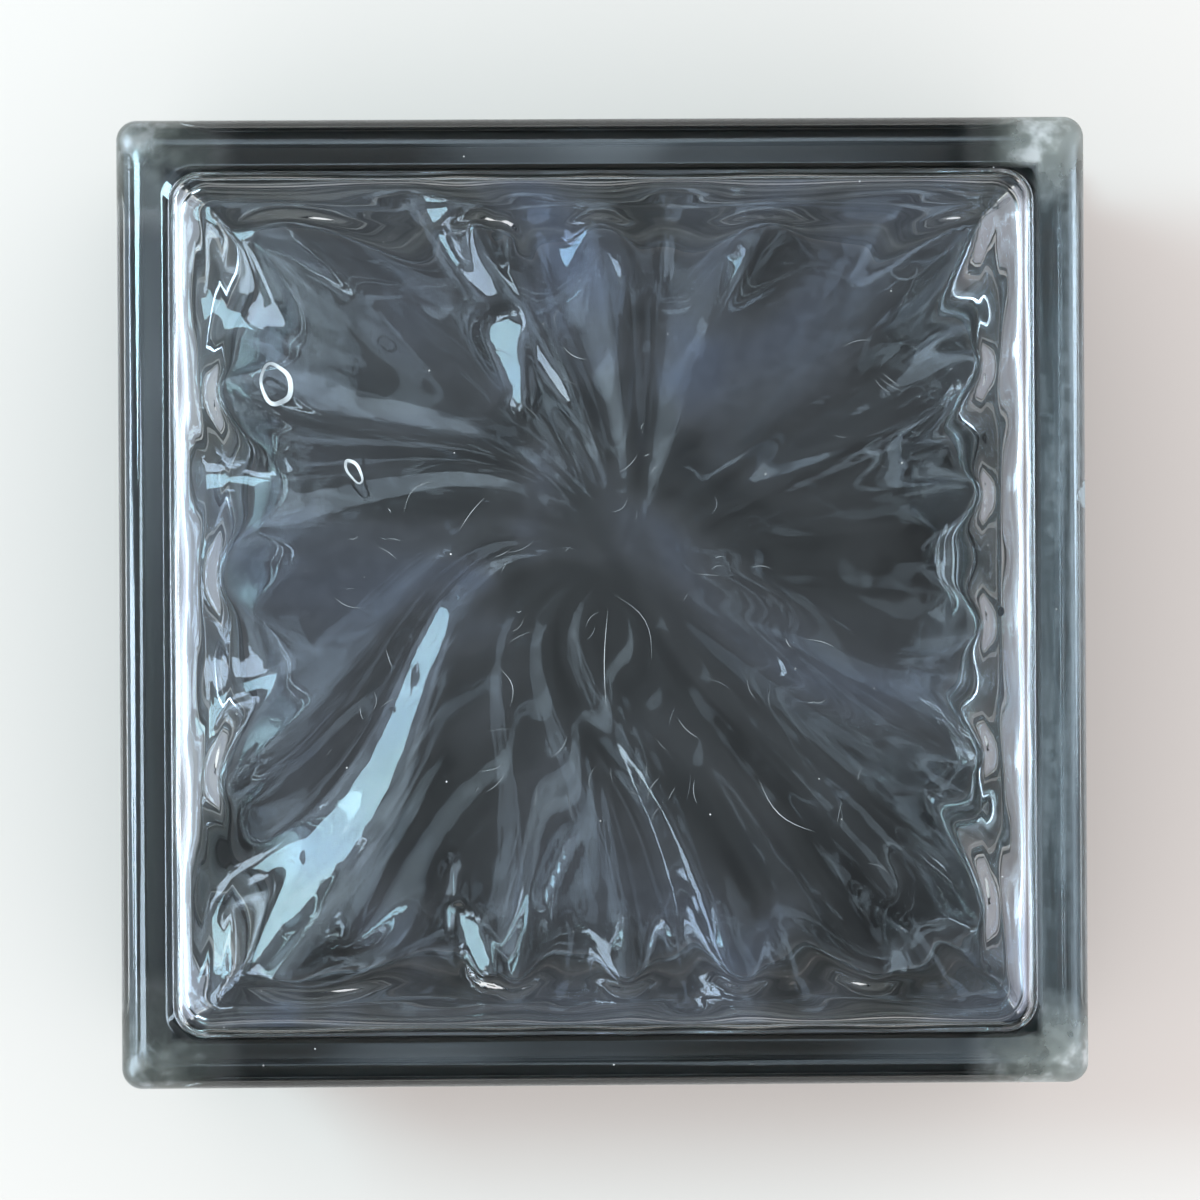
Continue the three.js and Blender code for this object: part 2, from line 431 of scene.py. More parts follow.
def ridgeTree(settings, materials):
    # pushes the hollow's roof and floor in with ridges that fan out from a hub, and scallops their
    # edges
    tree, names, got = startTree("ridgedHollow", settings, materials)
    run = partial(calc, tree)
    split = tree.nodes.new("ShaderNodeSeparateXYZ")
    tree.links.new(tree.nodes.new("GeometryNodeInputPosition").outputs[0], split.inputs[0])
    inside = tree.nodes.new("GeometryNodeInputNamedAttribute")
    inside.data_type = "FLOAT"
    inside.inputs["Name"].default_value = "inHollow"

    # the back half is the front one turned over, so its ridges run the other way
    x, y, z = [run("DIVIDE", axis, mm) for axis in split.outputs]
    fromSeam = run("SUBTRACT", z, got["middle"])
    side = run("SIGN", fromSeam)
    lift = smoothRamp(tree, run("ABSOLUTE", fromSeam), got["liftStart"], got["liftEnd"])
    onRoof = run("MULTIPLY", lift, inside.outputs["Attribute"])
    dx = run("SUBTRACT", run("MULTIPLY", x, side), got["hubX"])
    dy = run("SUBTRACT", y, got["hubY"])
    distance = run("SQRT", run("ADD", run("MULTIPLY", dx, dx), run("MULTIPLY", dy, dy)))

    # the ridges curl round the hub on one side of it, and grow outwards
    straight = run("ARCTAN2", dy, dx)
    facing = run("COSINE", run("SUBTRACT", straight, run("RADIANS", got["curlBearing"])))
    facing = run("POWER", run("DIVIDE", run("ADD", facing, 1), 2), 2)
    nearHub = run("POWER", run("DIVIDE", distance, got["curlReach"]), 2)
    nearHub = run("EXPONENT", run("MULTIPLY", nearHub, -1))
    curl = run("MULTIPLY", got["curlAngle"], run("MULTIPLY", facing, nearHub))
    wave, height = ridgeWave(tree, run("ADD", straight, curl), got["sharpness"])
    growth = run("MINIMUM", run("DIVIDE", distance, got["seamSize"]), 1)
    growth = run("POWER", growth, got["growth"])
    push = run("MULTIPLY", run("MULTIPLY", wave, growth), onRoof)

    # the roof rolls down towards its edge, from further in on a ridge than in a scoop
    rollStart = run("SUBTRACT", got["rollStart"], run("MULTIPLY", got["rollWave"], wave))
    outwards = run("MAXIMUM", run("ABSOLUTE", x), run("ABSOLUTE", y))
    rollLength = run("SUBTRACT", got["roofEdge"], rollStart)
    rolled = run("DIVIDE", run("SUBTRACT", outwards, rollStart), rollLength)
    rolled = run("POWER", run("MINIMUM", run("MAXIMUM", rolled, 0), 1), 2)
    roll = run("MULTIPLY", run("MULTIPLY", rolled, got["rollDepth"]), onRoof)
    drop = run("ADD", run("MULTIPLY", push, height), roll)
    onFront = run("MULTIPLY", run("MAXIMUM", side, 0), onRoof)
    for flat in flats:
        drop = flattened(tree, drop, x, y, onFront, flat)
    drop = run("MULTIPLY", run("MULTIPLY", drop, side), -mm)

    # pressed glass is never quite true, so the hollow's faces also swell a little
    swell = tree.nodes.new("ShaderNodeTexNoise")
    feed(tree, swell.inputs["Scale"], got["swellScale"])
    swell.inputs["Detail"].default_value = 2
    uneven = run("SUBTRACT", swell.outputs[0], 0.5)
    uneven = run("MULTIPLY", uneven, run("MULTIPLY", got["swell"], mm))
    uneven = run("MULTIPLY", run("MULTIPLY", uneven, side), onRoof)

    scallop = run("ADD", got["edgeScallop"], run("MULTIPLY", got["curlScallop"], facing))
    inward = run("MULTIPLY", run("DIVIDE", run("MULTIPLY", push, scallop), got["roofSize"]), -1)
    offset = tree.nodes.new("ShaderNodeCombineXYZ")
    tree.links.new(run("MULTIPLY", split.outputs[0], inward), offset.inputs[0])
    tree.links.new(run("MULTIPLY", split.outputs[1], inward), offset.inputs[1])
    tree.links.new(run("ADD", drop, uneven), offset.inputs[2])
    move = tree.nodes.new("GeometryNodeSetPosition")
    tree.links.new(got["Geometry"], move.inputs["Geometry"])
    tree.links.new(offset.outputs[0], move.inputs["Offset"])
    endTree(tree, move.outputs[0], [got[key] for key in materials])
    return tree, names


# a noise is its scale, detail, roughness and twist, and a ramp is where it starts, where it ends
# and what it gives there, if that isn't 0 and 1
glass = {
    # the glass itself, and its faintly uneven tint
    "colour": (0.95, 0.975, 0.965, 1), "thinColour": (0.975, 0.985, 0.98, 1),
    "tintNoise": (30, 0), "ior": 1.52,
    # width over which one finish fades into the next, where nothing more is said below
    "blend": 1,
    # dried smears and fine dust on the panels
    "smearNoise": (18, 2, 0.6, 0.8), "smearRamp": (0.38, 0.75),
    "smearCover": 0.06, "smearColour": (0.55, 0.65, 0.87, 1),
    "dustNoise": (420, 1), "dustRamp": (0.35, 0.7, 0.8, 1.0),
    # scuffs on the border's corners, which start and end so far in from the sides
    "cornerStart": 26, "cornerEnd": 6, "borderFade": 2, "leftScuff": 0.45,
    "patchNoise": (90, 4, 0.62), "patchRamp": (0.3, 0.62, 0.35, 1.0),
    "gritRamp": (0.35, 0.6, 0.85, 1.0), "scratchedRamp": (0.52, 0.68), "scuffRamp": (0.0, 0.15),
    "scuffRoughness": 0.5, "scuffCover": 0.48,
    "scuffColour": (0.36, 0.4, 0.37, 1), "scratchedColour": (0.8, 0.85, 0.85, 1),
    # the thin frosting down the right side
    "frostCover": 0.36, "frostColour": (0.5, 0.62, 0.68, 1),
    "mottleNoise": (420, 3, 0.65), "mottleRamp": (0.36, 0.62, 0.75, 1.0),
    "frostRamp": (0.35, 0.62, 0.3, 1.0),
    # the chip in the rim, and how much of it is whole before its edge fades
    "chipPlace": (94.4, 20.5, 72.5), "chipSize": 3.2, "chipCore": 0.7,
    # old mortar and painted shade, in streaks along the sides; it fades in towards the channel's wall,
    # out over the shoulder beyond it, and in again towards the land's face
    "streakNoise": (260, 2, 0.6), "streakLength": 12, "streakRamp": (0.35, 0.6, 0.75, 1.0),
    "channelFade": (-1.5, -0.5), "shoulderFade": (0.4, 1), "landFade": (-0.5, -0.1),
    "sideShare": 0.35, "shoulderShare": 0.75, "landShare": 0.92, "backShadeShare": 0.9,
    # the dark cover's colour and finish: partly old mortar, partly painted shade
    "mortarShadeRoughness": 0.35, "mortarShadeCover": 0.95, "mortarShadeColour": (0.13, 0.15, 0.14, 1),
    # the pale coat in the channel on the left and right
    "coatShare": 0.85, "backCoatShare": 0.3, "coatRise": 4, "coatRamp": (0.45, 0.65),
    "coatRoughness": 0.75, "coatColour": (0.52, 0.55, 0.71, 1),
    "coatStreakColour": (0.7, 0.73, 0.84, 1),
}


def glassMaterial(name):
    # clear glass with a faint unevenness in its tint
    material, tree, shader, place = newMaterial(name)
    shader.inputs["Roughness"].default_value = 0
    shader.inputs["IOR"].default_value = glass["ior"]
    shader.inputs["Transmission Weight"].default_value = 1
    tint = noise(tree, place, *glass["tintNoise"])
    colour = mixColour(tree, tint, glass["colour"], glass["thinColour"])
    feed(tree, shader.inputs["Base Color"], colour)
    return material, tree, shader, place, colour


def clearGlass():
    return glassMaterial("clearGlass")[0]


def smearedGlass():
    # the panels
    material, tree, shader, place, colour = glassMaterial("smearedGlass")
    run = partial(calc, tree)
    smears = smoothRamp(tree, noise(tree, place, *glass["smearNoise"]), *glass["smearRamp"])
    dusty = smoothRamp(tree, noise(tree, place, *glass["dustNoise"]), *glass["dustRamp"])
    cover = run("MULTIPLY", run("MULTIPLY", smears, dusty), glass["smearCover"])
    feed(tree, shader.inputs["Transmission Weight"], run("SUBTRACT", 1, cover))
    feed(tree, shader.inputs["Base Color"], mixColour(tree, smears, colour, glass["smearColour"]))
    return material


def fade(tree, value, start, end, *given):
    # a ramp between two places in millimetres
    return smoothRamp(tree, value, start * mm, end * mm, *given)


def alongSides(tree, axes, onSides):
    # noise in streaks that run along each side, whichever way it faces
    run = partial(calc, tree)
    shortest = 1 / glass["streakLength"]
    stretched = tree.nodes.new("ShaderNodeCombineXYZ")
    for k, along in ((0, onSides), (1, run("SUBTRACT", 1, onSides))):
        shrunk = run("ADD", run("MULTIPLY", along, 1 - shortest), shortest)
        feed(tree, stretched.inputs[k], run("MULTIPLY", axes[k], shrunk))
    feed(tree, stretched.inputs[2], axes[2])
    return noise(tree, stretched.outputs[0], *glass["streakNoise"])


def wornPlaces(tree, place):
    # where a spot of the border or the sides lies, and the two patterns that its finishes share
    run = partial(calc, tree)
    split = tree.nodes.new("ShaderNodeSeparateXYZ")
    tree.links.new(place, split.inputs[0])
    axes = list(split.outputs)
    alongX, alongY = [run("ABSOLUTE", axis) for axis in axes[:2]]
    blend = glass["blend"]
    onSides = fade(tree, run("SUBTRACT", alongX, alongY), -blend, blend)
    return {
        "axes": axes, "onSides": onSides,
        "onRight": fade(tree, run("SUBTRACT", axes[0], alongY), -blend, blend),
        "out": run("MAXIMUM", alongX, alongY), "along": run("MINIMUM", alongX, alongY),
        "height": run("ABSOLUTE", run("SUBTRACT", axes[2], halfDepth * mm)),
        "mottle": noise(tree, place, *glass["mottleNoise"]),
        "streaks": alongSides(tree, axes, onSides),
    }


def rimChip(tree, spot):
    # 1 inside the one chip in the front rim, with a ragged edge
    run = partial(calc, tree)
    size = glass["chipSize"] * mm
    away = 0
    for axis, middle in zip(spot["axes"], glass["chipPlace"]):
        gap = run("SUBTRACT", axis, middle * mm)
        away = run("ADD", away, run("MULTIPLY", gap, gap))
    ragged = run("MULTIPLY", run("SUBTRACT", spot["mottle"], 0.5), size)
    away = run("ADD", run("SQRT", away), ragged)
    return smoothRamp(tree, away, glass["chipCore"] * size, size, 1.0, 0.0)


def borderScuffs(tree, place, spot):
    # how scuffed a spot is, and in which colour: scuffs lie on the border's corners, more on the
    # right, and a thin frosting runs down the right side
    run = partial(calc, tree)
    ramp = partial(smoothRamp, tree)
    patches = noise(tree, place, *glass["patchNoise"])
    grit = noise(tree, place, *glass["dustNoise"])
    onBorder = run("MULTIPLY", fade(tree, spot["out"], panelSize, panelSize + glass["borderFade"]),
                   fade(tree, spot["height"], footLine, topLine))
    nearCorner = fade(tree, spot["along"], halfSide - glass["cornerStart"],
                      halfSide - glass["cornerEnd"])
    worse = fade(tree, spot["axes"][0], -halfSide, halfSide, glass["leftScuff"], 1.0)
    rubbed = run("MULTIPLY", ramp(patches, *glass["patchRamp"]), run("MULTIPLY", nearCorner, worse))
    frost = run("MULTIPLY", ramp(spot["mottle"], *glass["mottleRamp"]),
                ramp(spot["streaks"], *glass["frostRamp"]))
    frost = run("MULTIPLY", run("MULTIPLY", spot["onRight"], glass["frostCover"]), frost)
    scuffed = run("MULTIPLY", onBorder, run("MAXIMUM", rubbed, frost))
    scuffed = run("MULTIPLY", scuffed, ramp(grit, *glass["gritRamp"]))
    chipped = rimChip(tree, spot)
    scratched = run("MAXIMUM", ramp(patches, *glass["scratchedRamp"]), chipped)
    colour = mixColour(tree, scratched, glass["scuffColour"], glass["scratchedColour"])
    frosted = run("MULTIPLY", spot["onRight"], run("SUBTRACT", 1, nearCorner))
    colour = mixColour(tree, frosted, colour, glass["frostColour"])
    return run("MAXIMUM", scuffed, chipped), colour


def mortarAndShade(tree, spot):
    # how much mortar and painted shade, and how much pale coat, a spot has: the dark cover, partly old
    # mortar and partly painted shade, clouds the channel, least of all on the left and right, thins out
    # on the shoulders, reaches the lands above and below, and covers the back border as painted shade
    run = partial(calc, tree)
    ramp = partial(smoothRamp, tree)
    blend = glass["blend"]
    inChannel = run("MULTIPLY", fade(tree, spot["height"], footLine, footLine + blend, 1.0, 0.0),
                    fade(tree, spot["out"], *[channelSize + gap for gap in glass["channelFade"]]))
    onShoulder = fade(tree, spot["out"], *[channelSize + gap for gap in glass["shoulderFade"]])
    onLand = run("MULTIPLY", fade(tree, spot["out"], *[halfSide + gap for gap in glass["landFade"]]),
                 fade(tree, spot["height"], topLine, topLine + blend, 1.0, 0.0))
    onLand = run("MULTIPLY", onLand, ramp(spot["onSides"], 0.0, 1.0, glass["landShare"], 0.0))
    thinned = run("MULTIPLY", ramp(spot["onSides"], 0.0, 1.0, 1.0, glass["sideShare"]),
                  ramp(onShoulder, 0.0, 1.0, 1.0, glass["shoulderShare"]))
    height = spot["axes"][2]
    # the back border's dark cover is painted shade
    backRim = block["depth"] - landTop
    backShade = fade(tree, height, backRim - blend, backRim, glass["backShadeShare"], 0.0)
    mortarShade = run("MULTIPLY", run("MAXIMUM", inChannel, onLand), thinned)
    mortarShade = run("MULTIPLY", mortarShade, ramp(spot["streaks"], *glass["streakRamp"]))
    mortarShade = run("MAXIMUM", mortarShade, backShade)

    # a pale coat that lets light through is left in the channel on the left and right
    coat = fade(tree, height, halfDepth, halfDepth + glass["coatRise"], glass["backCoatShare"],
                glass["coatShare"])
    coat = run("MULTIPLY", run("MULTIPLY", inChannel, spot["onSides"]), coat)
    return run("MULTIPLY", mortarShade, run("SUBTRACT", 1, coat)), coat


def wornGlass():
    # the border and the sides
    material, tree, shader, place, colour = glassMaterial("wornGlass")
    run = partial(calc, tree)
    ramp = partial(smoothRamp, tree)
    spot = wornPlaces(tree, place)
    scuffed, scuffColour = borderScuffs(tree, place, spot)
    mortarShade, coat = mortarAndShade(tree, spot)
    coatColour = mixColour(tree, ramp(spot["streaks"], *glass["coatRamp"]), glass["coatColour"],
                           glass["coatStreakColour"])

    rough = run("ADD", run("MULTIPLY", mortarShade, glass["mortarShadeRoughness"]),
                run("MULTIPLY", scuffed, glass["scuffRoughness"]))
    rough = run("ADD", rough, run("MULTIPLY", coat, glass["coatRoughness"]))
    feed(tree, shader.inputs["Roughness"], rough)
    covered = run("ADD", run("MULTIPLY", scuffed, glass["scuffCover"]),
                  run("MULTIPLY", mortarShade, glass["mortarShadeCover"]))
    feed(tree, shader.inputs["Transmission Weight"], run("SUBTRACT", 1, run("MINIMUM", covered, 1)))
    colour = mixColour(tree, ramp(scuffed, *glass["scuffRamp"]), colour, scuffColour)
    colour = mixColour(tree, coat, colour, coatColour)
    # the dark cover, partly old mortar and partly painted shade, goes on last
    colour = mixColour(tree, mortarShade, colour, glass["mortarShadeColour"])
    feed(tree, shader.inputs["Base Color"], colour)
    return material


fanSettings = dict(fan, middle=halfDepth, liftStart=roofHeight - halfDepth - block["hollowFillet"] / 2,
                   liftEnd=roofHeight - halfDepth, roofEdge=roofSize - block["hollowFillet"],
                   seamSize=seamSize, roofSize=roofSize)
fanSettings = {key: float(value) for key, value in fanSettings.items()}
glasses = {"panelGlass": smearedGlass(), "edgeGlass": wornGlass(), "hollowGlass": clearGlass()}
blockPiece = addObject("glass_block", makeBlockMesh())
tree, names = ridgeTree(fanSettings, glasses)
applyTree(blockPiece, tree, names, {**fanSettings, **glasses})
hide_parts("front_half", "back_half")
finishPiece(blockPiece)


# hairline scratches and two rings of painted highlight on the front panel, dust on the panel and
# border, and a dark bubble

scratches = {
    "seed": 8, "width": 0.085, "points": 9, "bow": 0.2, "breadths": (0.6, 1.4), "tip": 0.1,
    # start and end of each long scratch
    "long": [
        ((30.0, -34.7), (40.7, -44.8)), ((0.8, -1.4), (0.4, -20.9)), ((2.1, 1.4), (9.2, -11.1)),
        ((-38.6, 17.9), (-32.9, 23.8)), ((-27.9, 14.2), (-23.0, 20.5)), ((-20.3, -12.7), (-18.3, -20.1)),
    ],
    # middle, bearing and count of each group of short arcs
    "groups": [
        ((-39.2, 8.8), 150, 9), ((-11.9, 0.0), 25, 10), ((10.5, 26.7), 60, 7), ((7.6, -28.3), 110, 9),
        ((35.3, -19.5), 140, 7), ((-20.0, -35.0), 35, 7), ((2.0, -45.0), 75, 7), ((-8.0, 45.0), 120, 5),
        ((24.0, 10.0), 35, 5), ((-52.0, -22.0), 65, 5), ((48.0, 40.0), 150, 5), ((52.0, -45.0), 120, 5),
    ],
    "spread": 11, "shortest": 1.0, "longest": 6.0, "turn": 50,
    "longPale": 0.8, "faintest": 0.05, "palest": 0.5,
    # rings of painted highlight: middle, half width, half height, turn, breadth of the line against a
    # scratch's
    "rings": [((-63.4, 42.7), 2.8, 3.9, 15, 9), ((-48.3, 25.7), 1.1, 2.5, 32, 6)],
    "ringPoints": 36, "ringWobble": 0.05, "ringWaves": (3, 5), "fastShare": 0.6,
    "ringSwing": 0.3, "ringHighlight": 0.75, "ringFade": 0.25,
    "paleColour": (0.62, 0.68, 0.7, 1), "dullColour": (0.07, 0.08, 0.09, 1), "colourScale": 180,
}
speckle = {"ramp": (0.35, 0.65), "lineShare": 0.6, "dullRoughness": 0.9, "paleRoughness": 0.6}


def speckledMaterial(name, settings):
    # a fine mottle of two colours, in which each scratch, and each ring of painted highlight, is as pale
    # as its line says
    material, tree, shader, place = newMaterial(name)
    share = smoothRamp(tree, noise(tree, place, settings["colourScale"]), *speckle["ramp"])
    if settings is scratches:
        paleness = tree.nodes.new("ShaderNodeAttribute")
        paleness.attribute_name = "pale"
        share = smoothRamp(tree, share, 0.0, 1.0, speckle["lineShare"], 1.0)
        share = calc(tree, "MULTIPLY", share, paleness.outputs["Fac"])
    colour = mixColour(tree, share, settings["dullColour"], settings["paleColour"])
    feed(tree, shader.inputs["Base Color"], colour)
    rough = smoothRamp(tree, share, 0.0, 1.0, speckle["dullRoughness"], speckle["paleRoughness"])
    feed(tree, shader.inputs["Roughness"], rough)
    return material


def scratchEnds(draw):
    # the long scratches, then the short ones strewn round the middle of each group
    ends = list(scratches["long"])
    for (x, y), bearing, count in scratches["groups"]:
        for _ in range(count):
            length = draw.uniform(scratches["shortest"], scratches["longest"])
            angle = math.radians(bearing + draw.uniform(-1, 1) * scratches["turn"])
            fromX = x + draw.uniform(-1, 1) * scratches["spread"]
            fromY = y + draw.uniform(-1, 1) * scratches["spread"]
            toX, toY = fromX + length * math.cos(angle), fromY + length * math.sin(angle)
            ends.append(((fromX, fromY), (toX, toY)))
    return ends


def scratchAndHighlightLines():
    # the middle line of every scratch and of every ring of painted highlight, as a chain of edges just
    # above the panel
    draw = random.Random(scratches["seed"])
    points, edges, breadths, paleness = [], [], [], []
    last = scratches["points"] - 1
    for n, ((x0, y0), (x1, y1)) in enumerate(scratchEnds(draw)):
        bow = draw.uniform(-1, 1) * scratches["bow"]
        breadth = draw.uniform(*scratches["breadths"])
        pale = scratches["longPale"]
        if n >= len(scratches["long"]):
            pale = draw.uniform(scratches["faintest"], scratches["palest"])
        edges += [(len(points) + k, len(points) + k + 1) for k in range(last)]
        for k in range(last + 1):
            share = k / last
            aside = bow * math.sin(math.pi * share)
            points.append((x0 + (x1 - x0) * share - (y1 - y0) * aside,
                           y0 + (y1 - y0) * share + (x1 - x0) * aside))
            breadths.append(breadth * (math.sin(math.pi * share) + scratches["tip"]))
            paleness.append(pale)
    # the rings are painted highlights: pale strips that stand in for ring-shaped reflections
    (slow, fast), count = scratches["ringWaves"], scratches["ringPoints"]
    for (x, y), halfWidth, halfHeight, turn, breadth in scratches["rings"]:
        edges += [(len(points) + k, len(points) + (k + 1) % count) for k in range(count)]
        for k in range(count):
            angle = 2 * math.pi * k / count
            wobble = math.sin(slow * angle + turn) + scratches["fastShare"] * math.sin(fast * angle)
            wobble = 1 + scratches["ringWobble"] * wobble
            spot = Vector((wobble * halfWidth * math.cos(angle), wobble * halfHeight * math.sin(angle)))
            spot = Matrix.Rotation(math.radians(turn), 2) @ spot
            points.append((x + spot[0], y + spot[1]))
            breadths.append(breadth * (1 + scratches["ringSwing"] * math.sin(angle + turn)))
            paleness.append(scratches["ringHighlight"] + scratches["ringFade"] * math.sin(2 * angle + 1))
    mesh = meshFrom("scratches", [(x * mm, y * mm, wearHeight * mm) for x, y in points], [], edges)
    for name, values in (("breadth", breadths), ("pale", paleness)):
        mesh.attributes.new(name, "FLOAT", "POINT").data.foreach_set("value", values)
    return mesh


def scratchAndHighlightTree(settings, materials):
    # a flat strip along every line, as broad as the line says
    tree, names, got = startTree("scratchStrips", settings, materials)
    curve = tree.nodes.new("GeometryNodeMeshToCurve")
    tree.links.new(got["Geometry"], curve.inputs[0])
    upright = tree.nodes.new("GeometryNodeSetCurveNormal")
    upright.mode = "Z_UP"
    tree.links.new(curve.outputs[0], upright.inputs["Curve"])
    breadth = tree.nodes.new("GeometryNodeInputNamedAttribute")
    breadth.data_type = "FLOAT"
    breadth.inputs["Name"].default_value = "breadth"
    strip = tree.nodes.new("GeometryNodeCurvePrimitiveLine")
    for socket, share in (("Start", -0.5), ("End", 0.5)):
        across = tree.nodes.new("ShaderNodeCombineXYZ")
        tree.links.new(calc(tree, "MULTIPLY", got["width"], share * mm), across.inputs[0])
        tree.links.new(across.outputs[0], strip.inputs[socket])
    solid = tree.nodes.new("GeometryNodeCurveToMesh")
    tree.links.new(upright.outputs[0], solid.inputs["Curve"])
    tree.links.new(breadth.outputs["Attribute"], solid.inputs["Scale"])
    tree.links.new(strip.outputs[0], solid.inputs["Profile Curve"])
    endTree(tree, solid.outputs[0], [got[key] for key in materials])
    return tree, names


dust = {
    "seed": 21, "density": 9500.0, "smallest": 0.035, "largest": 0.2, "rarity": 5.0,
    "lift": 0.006, "corners": 6,
    "paleColour": (0.5, 0.52, 0.52, 1), "dullColour": (0.16, 0.17, 0.17, 1), "colourScale": 90,
}


def frontSkin():
    # the panel and the border round it, for the dust to settle on
    points, faces = closedShell(edgedLines(), outerProfile(), outerRadius)
    lowest = landTop + block["rimEdgeRadius"] / 2
    kept = [face for face in faces if min(points[k][2] for k in face) > lowest]
    used = sorted({k for face in kept for k in face})
    place = {k: n for n, k in enumerate(used)}
    return meshFrom("dust", np.array([points[k] for k in used]) * mm,
                    [tuple(place[k] for k in face) for face in kept])


def dustTree(settings, materials):
    # small flat specks scattered over the skin
    tree, names, got = startTree("dustSpecks", settings, materials)
    scatter = tree.nodes.new("GeometryNodeDistributePointsOnFaces")
    tree.links.new(got["Geometry"], scatter.inputs["Mesh"])
    tree.links.new(got["density"], scatter.inputs["Density"])
    scatter.inputs["Seed"].default_value = dust["seed"]
    lifted = tree.nodes.new("GeometryNodeSetPosition")
    rise = tree.nodes.new("ShaderNodeVectorMath")
    rise.operation = "SCALE"
    tree.links.new(scatter.outputs["Normal"], rise.inputs[0])
    tree.links.new(calc(tree, "MULTIPLY", got["lift"], mm), rise.inputs["Scale"])
    tree.links.new(scatter.outputs["Points"], lifted.inputs["Geometry"])
    tree.links.new(rise.outputs[0], lifted.inputs["Offset"])
    speck = tree.nodes.new("GeometryNodeMeshCircle")
    speck.fill_type = "NGON"
    speck.inputs["Vertices"].default_value = dust["corners"]
    speck.inputs["Radius"].default_value = mm
    chance = tree.nodes.new("FunctionNodeRandomValue")
    chance.data_type = "FLOAT"
    chance.inputs["Seed"].default_value = dust["seed"]
    drawn = [socket for socket in chance.outputs if socket.type == "VALUE" and socket.enabled][0]
    size = calc(tree, "POWER", drawn, got["rarity"])
    size = smoothRamp(tree, size, 0.0, 1.0, got["smallest"], got["largest"])
    placed = tree.nodes.new("GeometryNodeInstanceOnPoints")
    tree.links.new(lifted.outputs[0], placed.inputs["Points"])
    tree.links.new(speck.outputs[0], placed.inputs["Instance"])
    tree.links.new(scatter.outputs["Rotation"], placed.inputs["Rotation"])
    tree.links.new(size, placed.inputs["Scale"])
    endTree(tree, placed.outputs[0], [got[key] for key in materials])
    return tree, names


dustKeys = ("density", "smallest", "largest", "rarity", "lift")
# the scratch strips also carry the two rings of painted highlight
for name, settings, keys, makeBase, makeTree in (
        ("scratches", scratches, ("width",), scratchAndHighlightLines, scratchAndHighlightTree),
        ("dust", dust, dustKeys, frontSkin, dustTree)):
    given = {key: float(settings[key]) for key in keys}
    surface = {"surface": speckledMaterial(name, settings)}
    piece = addObject(name, makeBase())
    tree, names = makeTree(given, surface)
    applyTree(piece, tree, names, {**given, **surface})
    finishPiece(piece)


# the dark bubble in the panel is made as a flat disc on it
bubble = {
    "middle": (77.2, -2.2), "size": (0.65, 0.95), "points": 24,
    "paleColour": (0.014, 0.015, 0.017, 1), "dullColour": (0.004, 0.004, 0.005, 1),
    "colourScale": 2200,
}


def bubbleMesh():
    (x, y), (halfWidth, halfHeight) = bubble["middle"], bubble["size"]
    turns = [2 * math.pi * k / bubble["points"] for k in range(bubble["points"])]
    points = [((x + halfWidth * math.cos(angle)) * mm, (y + halfHeight * math.sin(angle)) * mm,
               wearHeight * mm) for angle in turns]
    return meshFrom("bubble", points, [tuple(range(bubble["points"]))])


bubblePiece = addObject("bubble", bubbleMesh())
bubblePiece.data.materials.append(speckledMaterial("bubble", bubble))
finishPiece(bubblePiece)


# floor, window, sky and camera

stage = {"floorSize": 6, "floorDrop": 0.3, "floorColour": (0.57, 0.54, 0.51, 1)}


def paleFloor():
    material, _, shader, _ = newMaterial("paleFloor")
    shader.inputs["Base Color"].default_value = stage["floorColour"]
    shader.inputs["Specular IOR Level"].default_value = 0
    shader.inputs["Roughness"].default_value = 1
    return material


reach, drop = stage["floorSize"], -stage["floorDrop"] * mm
corners = [(-reach, -reach, drop), (reach, -reach, drop), (reach, reach, drop), (-reach, reach, drop)]
floor = addObject("floor", meshFrom("floor", corners, [(0, 1, 2, 3)]))
floor.data.materials.append(paleFloor())

# the window that makes the bright streak, turned about its own axis
window = {
    "place": (-0.96, 0.35, 1.295), "target": (0, 0, 0.05), "turn": -41,
    "size": (0.43, 0.42), "power": 16, "colour": (0.56, 0.88, 1),
}
light = bpy.data.lights.new("window", "AREA")
light.shape = "RECTANGLE"
light.size, light.size_y = window["size"]
light.energy = window["power"]
light.color = window["colour"]
holder = addObject("window", light)
holder.location = window["place"]
facing = (holder.location - Vector(window["target"])).to_track_quat("Z", "Y")
holder.rotation_euler = (facing @ Quaternion((0, 0, 1), math.radians(window["turn"]))).to_euler()

